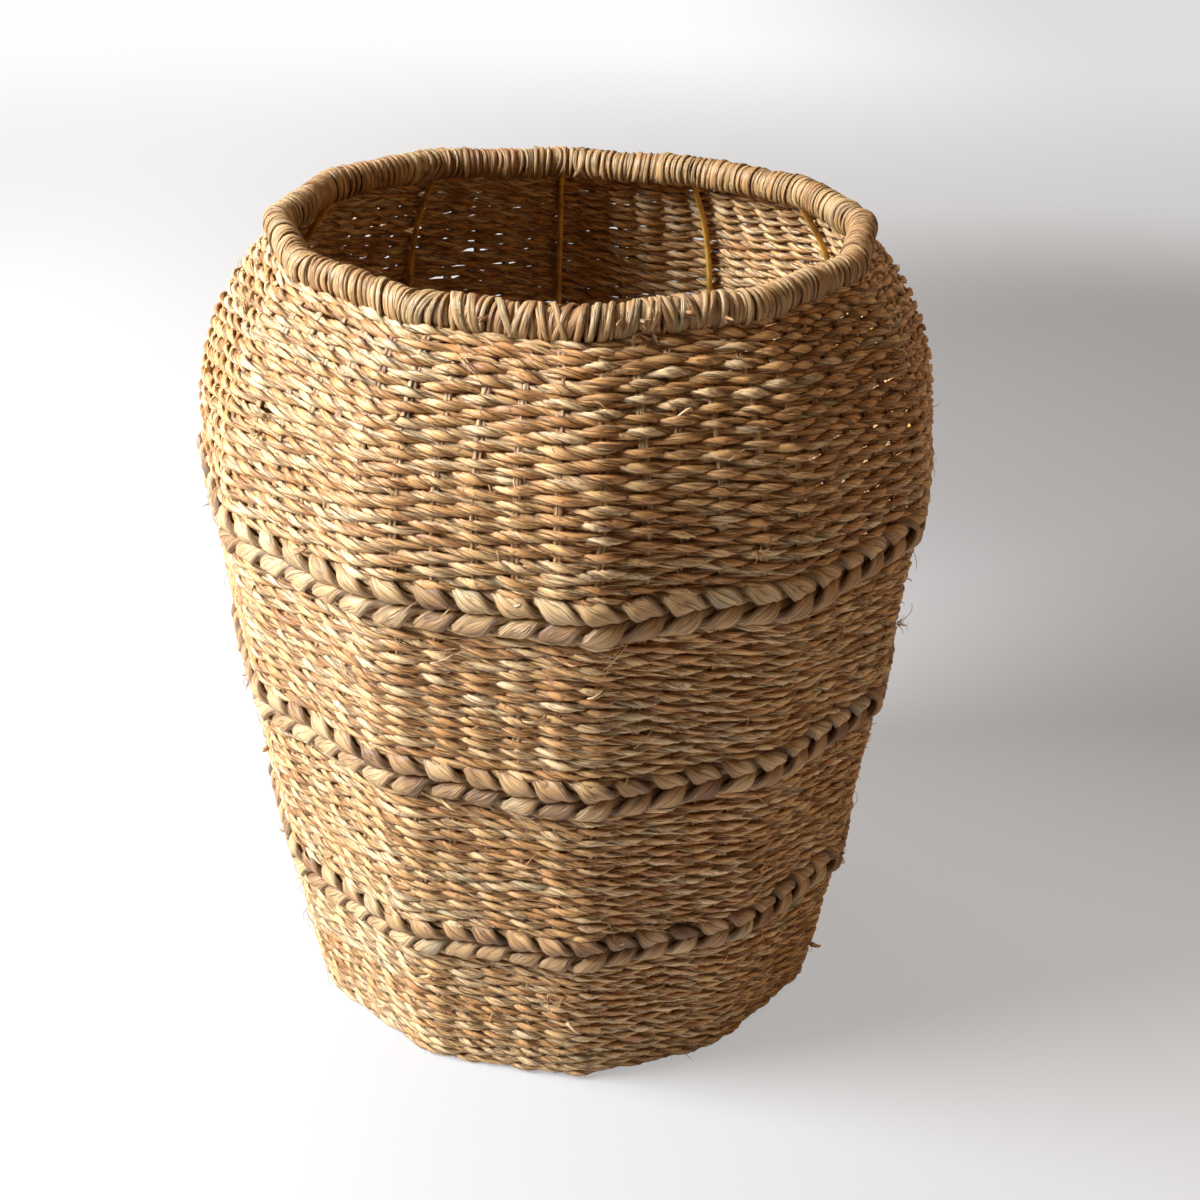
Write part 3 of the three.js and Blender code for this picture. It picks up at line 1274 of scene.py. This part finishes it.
@dataclass
class RodFrame:
    """Painted iron rods: the ribs inside the weave, the base hoop and the bars across the base."""

    bend_start_drop: float = 4.0
    rib_points: int = 24
    hoop_points: int = 96
    bevel_resolution: int = 3
    weld_distance: float = 1e-6
    smooth_angle: float = math.radians(50.0)

    @property
    def rod_radius(self) -> float:
        """Half the rod's diameter."""
        return FORM.rod_diameter / 2

    @property
    def hoop_height(self) -> float:
        """Height of the middle of the base hoop."""
        return FORM.base_panel_thickness + FORM.seat_gap + self.rod_radius

    @property
    def hoop_radius(self) -> float:
        """Radius of the base hoop at a rib."""
        inner = float(FORM.outer_radius(self.hoop_height)) - FORM.wall_thickness
        return inner - self.rod_radius - FORM.seat_gap

    def build(self, material: Material) -> list[Piece]:
        """Bends all rods that can be seen.

        Args:
            material: finish of the rods.

        Returns:
            The rods.
        """
        rods = []
        for index in range(FORM.rib_count):
            node = f"rib_{index + 1:02d}"
            rods.append(self.bend(f"{node}_rod", self.rib_line(index), False, material, node))
        around = np.linspace(0.0, FULL_TURN, self.hoop_points, endpoint=False)
        hoop = round_place(around, self.hoop_radius * FORM.plan_factor(around), self.hoop_height)
        rods.append(self.bend("base_hoop_rod", hoop, True, material, "base_hoop"))
        reach = self.hoop_radius - self.rod_radius - FORM.seat_gap
        short = self.rod_radius + FORM.seat_gap
        bars = (
            ("base_bar_long", 0.0, -reach, reach),
            ("base_bar_right", math.pi / 2, short, reach),
            ("base_bar_left", math.pi / 2, -short, -reach),
        )
        for node, turn, start, end in bars:
            line = round_place(FORM.first_rib + turn, np.array([start, end]), self.hoop_height)
            rods.append(self.bend(f"{node}_rod", line, False, material, node))
        return rods

    def rib_line(self, index: int) -> Array:
        """Centre line of a rib, against the inside of the wall and into the binding under the rim hoop.

        Args:
            index: number of the rib, from 0.

        Returns:
            Points along it, in millimetres.
        """
        bottom = self.hoop_height + self.rod_radius + FORM.seat_gap
        height = np.linspace(bottom, FORM.wall_top - self.bend_start_drop, self.rib_points)
        lean = np.hypot(1.0, FORM.slope(height))
        radius = FORM.outer_radius(height) - FORM.wall_thickness - (self.rod_radius + FORM.seat_gap) * lean
        radius = np.append(radius, [FORM.rim_hoop_radius + FORM.seat_gap, FORM.rim_hoop_radius])
        height = np.append(height, [
            FORM.wall_top + self.rod_radius / 2,
            FORM.rim_hoop_height - self.rod_radius - FORM.seat_gap,
        ])
        return round_place(FORM.first_rib + index * FULL_TURN / FORM.rib_count, radius, height)

    def bend(self, name: str, line: Array, closed: bool, material: Material, node: str) -> Piece:
        """Bends one round rod along a line.

        Args:
            name: name of the piece.
            line: points along its middle, in millimetres.
            closed: whether it is a hoop.
            material: finish of the rod.
            node: the frame node that it stands for.

        Returns:
            The rod.
        """
        bpy.ops.object.select_all(action="DESELECT")
        bpy.ops.curve.primitive_bezier_curve_add(location=(0.0, 0.0, 0.0))
        rod = bpy.context.object
        rod.name = name
        curve = rod.data
        spline = curve.splines[0]
        spline.bezier_points.add(len(line) - 2)
        for knot, place in zip(spline.bezier_points, line):
            knot.co = Vector(place * MM)
            knot.handle_left_type = "AUTO"
            knot.handle_right_type = "AUTO"
            knot.radius = 1.0
        spline.use_cyclic_u = closed
        curve.resolution_u = 2
        curve.bevel_depth = self.rod_radius * MM
        curve.bevel_resolution = self.bevel_resolution
        curve.use_fill_caps = not closed
        bpy.ops.object.convert(target="MESH")
        bpy.ops.object.mode_set(mode="EDIT")
        bpy.ops.mesh.select_all(action="SELECT")
        bpy.ops.mesh.remove_doubles(threshold=self.weld_distance)
        bpy.ops.mesh.normals_make_consistent(inside=False)
        bpy.ops.object.mode_set(mode="OBJECT")
        bpy.ops.object.shade_smooth_by_angle(angle=self.smooth_angle)
        return dress(bpy.context.object, material, "painted_rod", node)


@dataclass(frozen=True)
class FibreKind:
    """Sizes of one kind of fibre.

    They are the number of places that have it, the ranges of its length and thickness, how far it stands off
    the side as a share of its length, and the fewest and most fibres in each place.
    """

    places: int
    lengths: Range
    thicknesses: Range
    stand: float
    in_each: tuple[int, int] = (1, 1)


@dataclass
class FrayedEnds:
    """Tufts of fibre where cords are spliced, and single wisps that stand off the weave."""

    tufts: FibreKind = FibreKind(30, (7.0, 19.0), (0.6, 1.5), 0.3, in_each=(7, 15))
    rosettes: FibreKind = FibreKind(14, (3.5, 6.5), (1.4, 2.2), 0.8, in_each=(9, 14))
    stubs: FibreKind = FibreKind(60, (7.0, 13.0), (4.0, 6.0), 0.35)
    wisps: FibreKind = FibreKind(420, (4.0, 14.0), (0.5, 1.2), 0.3)
    tuft_heading: float = 0.7
    tuft_width: float = 1.2
    tuft_height: float = 1.0
    tuft_fan: float = 0.3
    stub_heading: float = 0.35
    heights: Range = (14.0, 474.0)
    root_depth: float = 1.0
    rings: int = 6
    rises: Range = (0.5, 1.4)
    bows: Range = (0.5, 0.8)
    curl: float = 0.3
    droop: float = 0.1
    fibre_radius: float = 0.24
    point_taper: float = 0.6
    tones: Range = (0.35, 0.85)
    lowest: float = 0.4
    lowest_step: float = 0.05
    sides: int = 4
    seed: int = 15

    def build(self, material: Material) -> Piece:
        """Makes all fibres as one piece.

        Args:
            material: finish of the fibres.

        Returns:
            The piece.
        """
        rng = np.random.default_rng(self.seed)
        strands = StrandMesh(self.sides)
        for _ in range(self.tufts.places):
            angle, height = self.place(rng)
            heading = rng.uniform(-self.tuft_heading, self.tuft_heading) + rng.choice([0.0, math.pi])
            fewest, most = self.tufts.in_each
            for _ in range(int(rng.integers(fewest, most + 1))):
                root = angle + rng.normal(0.0, self.tuft_width) / FORM.belly_radius
                level = height + rng.normal(0.0, self.tuft_height)
                fanned = heading + rng.normal(0.0, self.tuft_fan)
                self.add_fibre(strands, rng, self.tufts, root, level, fanned)
        for _ in range(self.rosettes.places):
            angle, height = self.place(rng)
            fewest, most = self.rosettes.in_each
            for _ in range(int(rng.integers(fewest, most + 1))):
                self.add_fibre(strands, rng, self.rosettes, angle, height, rng.uniform(0.0, FULL_TURN))
        for _ in range(self.stubs.places):
            angle, height = self.place(rng)
            heading = rng.normal(0.0, self.stub_heading) + rng.choice([0.0, math.pi])
            self.add_fibre(strands, rng, self.stubs, angle, height, heading)
        for _ in range(self.wisps.places):
            angle, height = self.place(rng)
            self.add_fibre(strands, rng, self.wisps, angle, height, rng.uniform(0.0, FULL_TURN))
        return dress(strands.build("frayed_fibres"), material, "seagrass_weave")

    def place(self, rng: Rng) -> tuple[float, float]:
        """Angle and height of one end, anywhere on the side."""
        return rng.uniform(0.0, FULL_TURN), rng.uniform(*self.heights)

    def add_fibre(
        self, strands: StrandMesh, rng: Rng, kind: FibreKind,
        angle: float, height: float, heading: float,
    ) -> None:
        """Adds one curved fibre that starts in the weave.

        Args:
            strands: the mesh to add it to.
            rng: source of the draws.
            kind: the ranges of its sizes.
            angle: where it starts round the basket.
            height: where it starts.
            heading: direction along the side, from across.
        """
        length = rng.uniform(*kind.lengths)
        thickness = rng.uniform(*kind.thicknesses)
        share = np.linspace(0.0, 1.0, self.rings)
        base, out, up = FORM.on_side(np.array([angle]), np.array([height]), self.root_depth)
        across = np.cross(up[0], out[0])
        ahead = across * math.cos(heading) + up[0] * math.sin(heading)
        rise = kind.stand * rng.uniform(*self.rises)
        curl = rng.normal(0.0, self.curl) / math.sqrt(thickness)
        path = (
            base[0]
            + np.outer(share * length, ahead)
            + np.outer(length * rise * np.sin(share * math.pi * rng.uniform(*self.bows)), out[0])
            + np.outer(length * curl * share**2, np.cross(out[0], ahead))
            - np.outer(length * self.droop * share**2, UPRIGHT)
        )
        path[:, 2] = np.maximum(path[:, 2], self.lowest + self.lowest_step * np.arange(self.rings))
        size = self.fibre_radius * math.sqrt(thickness) * (1.0 - self.point_taper * share)
        wide = size * (1.0 + thickness / 2 * (1.0 - share / 2))
        strands.add(path, out[0], wide, size, rng.uniform(*self.tones), rng)


# Studio

@dataclass(frozen=True)
class Lamp:
    """One soft lamp: its name, its place, target and size in metres, its power in watts and its colour."""

    name: str
    place: tuple[float, float, float]
    target: tuple[float, float, float]
    size: float
    power: float
    colour: str = "#FFFFFF"

    def hang(self) -> None:
        """Adds the lamp to the scene."""
        bpy.ops.object.light_add(type="AREA", location=self.place)
        lamp = bpy.context.object
        lamp.name = self.name
        aim = Vector(self.target) - Vector(self.place)
        lamp.rotation_euler = aim.to_track_quat("-Z", "Y").to_euler()
        lamp.data.shape = "DISK"
        lamp.data.size = self.size
        lamp.data.energy = self.power
        lamp.data.color = from_hex(self.colour)[:3]


@dataclass(frozen=True)
class Studio:
    """Pale floor, soft lamps with the main one on the left, and the camera at the photograph's angle.

    Places and spans are in metres, and the camera's angles are in radians.
    """

    camera_place: tuple[float, float, float] = (0.0209, -0.9574, 0.7558)
    camera_pitch: float = 0.4917
    camera_roll: float = 0.0235
    lens: float = 50.25
    sensor_width: float = 36.0
    floor_size: float = 14.0
    floor_colour: str = "#C8C6C4"
    floor_seen: str = "#8F8E8D"
    floor_far: str = "#FDFEFF"
    floor_roughness: float = 0.95
    glow_right: float = 0.39
    shade_glow: float = 0.13
    shade_place: tuple[float, float, float] = (0.8, 0.95, 0.0)
    shade_span: Range = (0.4, 1.1)
    glow_left: float = 0.62
    glow_span: Range = (0.3, -0.9)
    far_right: float = 0.74
    far_span: Range = (0.1, 1.3)
    fade_from: float = 1.4
    fade_to: float = 3.6
    air_colour: str = "#FFD1A2"
    air_low: float = 0.05
    air_rise: float = 0.11
    air_side: float = 0.93
    air_side_from: tuple[float, float, float] = (0.8, 0.6, 0.0)
    air_side_focus: float = 2.0
    backdrop: str = "#FAFBFC"
    lamps: tuple[Lamp, ...] = (
        Lamp("window_lamp", (-1.96, -0.48, 1.66), (0.0, 0.0, 0.2), 1.2, 184.0, "#F4F8FF"),
        Lamp("ceiling_lamp", (-0.6, 1.3, 2.3), (0.0, 0.0, 0.3), 1.4, 9.0, "#F6F8FF"),
    )

    def build(self) -> None:
        """Sets up the floor, the lamps, the world and the camera."""
        bpy.ops.object.select_all(action="DESELECT")
        bpy.ops.mesh.primitive_plane_add(size=self.floor_size, location=(0.0, 0.0, 0.0))
        floor = bpy.context.object
        floor.name = "floor"
        floor.data.materials.append(self.floor_material())
        for lamp in self.lamps:
            lamp.hang()
        self.light_world()
        self.set_camera()
        bpy.context.scene.view_settings.view_transform = "Standard"

    def floor_material(self) -> Material:
        """Matt pale paper floor, which fades to white far from the basket; for the camera it carries painted
        light and shade.

        Returns:
            The new material.
        """
        material, tree, paper = start_material("matt_pale_paper")
        place = add_node(tree, "ShaderNodeTexCoord").outputs["Object"]
        distance = add_node(tree, "ShaderNodeVectorMath", {0: place}, operation="LENGTH").outputs["Value"]
        fade = add_node(
            tree, "ShaderNodeMapRange",
            {"Value": distance, "From Min": self.fade_from, "From Max": self.fade_to},
            interpolation_type="SMOOTHSTEP",
        )
        seen = add_node(tree, "ShaderNodeLightPath").outputs["Is Camera Ray"]
        share = add_node(tree, "ShaderNodeMath", {0: fade, 1: seen}, operation="MULTIPLY")
        across = add_node(tree, "ShaderNodeSeparateXYZ", {0: place}).outputs["X"]
        # Painted shade: for the camera the floor at the back on the right glows less, as if it lay in shade.
        from_shade = add_node(
            tree, "ShaderNodeVectorMath", {0: place, 1: self.shade_place}, operation="DISTANCE",
        ).outputs["Value"]
        dim_glow = add_node(tree, "ShaderNodeMapRange", {
            "Value": from_shade, "From Min": self.shade_span[0], "From Max": self.shade_span[1],
            "To Min": self.shade_glow, "To Max": self.glow_right,
        }, interpolation_type="SMOOTHSTEP")
        # Painted light: for the camera the floor glows more towards the left.
        side_glow = add_node(tree, "ShaderNodeMapRange", {
            "Value": across, "From Min": self.glow_span[0], "From Max": self.glow_span[1],
            "To Min": dim_glow, "To Max": self.glow_left,
        }, interpolation_type="SMOOTHSTEP")
        glow = add_node(tree, "ShaderNodeMath", {0: seen, 1: side_glow}, operation="MULTIPLY")
        # For the camera the paper is darker, and the painted glow makes up its brightness.
        tone = add_node(tree, "ShaderNodeValToRGB", {"Fac": seen})
        set_ramp(tone, ((0.0, self.floor_colour), (1.0, self.floor_seen)))
        feed(paper, {
            "Base Color": tone, "Roughness": self.floor_roughness, "Specular IOR Level": 0.0,
            "Emission Color": from_hex("#FFFFFF"), "Emission Strength": glow,
        })
        # Painted shade: the far white is dimmer towards the right.
        far_tone = add_node(tree, "ShaderNodeMapRange", {
            "Value": across, "From Min": self.far_span[0], "From Max": self.far_span[1],
            "To Min": 1.0, "To Max": self.far_right,
        }, interpolation_type="SMOOTHSTEP")
        far_colour = from_hex(self.floor_far)
        white = add_node(tree, "ShaderNodeEmission", {"Color": far_colour, "Strength": far_tone})
        mixed = add_node(tree, "ShaderNodeMixShader", {0: share, 1: paper, 2: white})
        feed(tree.nodes["Material Output"], {"Surface": mixed})
        return material

    def light_world(self) -> None:
        """Sets up dim warm air, which the camera sees as white."""
        world = bpy.data.worlds.new("studio_air")
        bpy.context.scene.world = world
        world.use_nodes = True
        tree = world.node_tree
        seen = add_node(tree, "ShaderNodeLightPath").outputs["Is Camera Ray"]
        # The air is brighter overhead and at the back on the right.
        direction = add_node(tree, "ShaderNodeTexCoord").outputs["Generated"]
        height = add_node(tree, "ShaderNodeSeparateXYZ", {0: direction}).outputs["Z"]
        overhead = add_node(
            tree, "ShaderNodeMath", {0: height, 1: self.air_rise, 2: self.air_low}, operation="MULTIPLY_ADD",
        )
        beside = add_node(
            tree, "ShaderNodeVectorMath", {0: direction, 1: self.air_side_from}, operation="DOT_PRODUCT",
        ).outputs["Value"]
        beside = add_node(tree, "ShaderNodeMath", {0: beside, 1: 0.0}, operation="MAXIMUM")
        beside = add_node(tree, "ShaderNodeMath", {0: beside, 1: self.air_side_focus}, operation="POWER")
        strength = add_node(
            tree, "ShaderNodeMath", {0: beside, 1: self.air_side, 2: overhead}, operation="MULTIPLY_ADD",
        )
        air = tree.nodes["Background"]
        feed(air, {"Color": from_hex(self.air_colour), "Strength": strength})
        far_colour = from_hex(self.backdrop)
        backdrop = add_node(tree, "ShaderNodeBackground", {"Color": far_colour, "Strength": 1.0})
        mixed = add_node(tree, "ShaderNodeMixShader", {0: seen, 1: air, 2: backdrop})
        feed(tree.nodes["World Output"], {"Surface": mixed})

    def set_camera(self) -> None:
        """Places the camera."""
        data = bpy.data.cameras.new("camera")
        data.lens = self.lens
        data.sensor_width = self.sensor_width
        camera = bpy.data.objects.new("camera", data)
        bpy.context.scene.collection.objects.link(camera)
        tilt = Matrix.Rotation(math.pi / 2 - self.camera_pitch, 4, "X")
        roll = Matrix.Rotation(self.camera_roll, 4, "Z")
        camera.matrix_world = Matrix.Translation(self.camera_place) @ tilt @ roll
        bpy.context.scene.camera = camera


@dataclass
class Basket:
    """The whole basket, built in the order of its making."""

    walls: list[WovenWall] = field(default_factory=lambda: [
        WovenWall("wall_foot", 2.7, 99.5, 4.0, seed=101),
        WovenWall("wall_lower", 121.3, 222.0, 4.0, seed=102),
        WovenWall("wall_middle", 243.3, 336.0, 3.65, seed=103),
        WovenWall("wall_shoulder", 357.3, 482.5, 4.05, seed=104, float_reach=1.95, settling=0.2),
    ])
    bands: list[ArrowBand] = field(default_factory=lambda: [
        ArrowBand("lower", 111.0, seed=201),
        ArrowBand("middle", 233.0, seed=211),
        ArrowBand("upper", 347.0, seed=221),
    ])

    def build(self) -> None:
        """Builds and dresses every sub-assembly."""
        cord = CORD_FINISH.make()
        stake = STAKE_FINISH.make()
        strand = BAND_FINISH.make()
        wrap = WRAP_FINISH.make()
        paint = PaintFinish().make()
        BasePanel().build(cord, stake)
        RodFrame().build(paint)
        Stakes().build(stake)
        for wall in self.walls:
            wall.build(cord)
        for band in self.bands:
            band.build(strand)
        RimBinding().build(wrap)
        FrayedEnds().build(cord)
        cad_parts["rim_hoop"].data.materials.clear()
        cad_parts["rim_hoop"].data.materials.append(paint)


def main() -> None:
    """Builds the basket and the studio."""
    logging.basicConfig(level=logging.INFO, format="%(name)s: %(message)s")
    Basket().build()
    Studio().build()


if __name__ == "__main__":
    main()
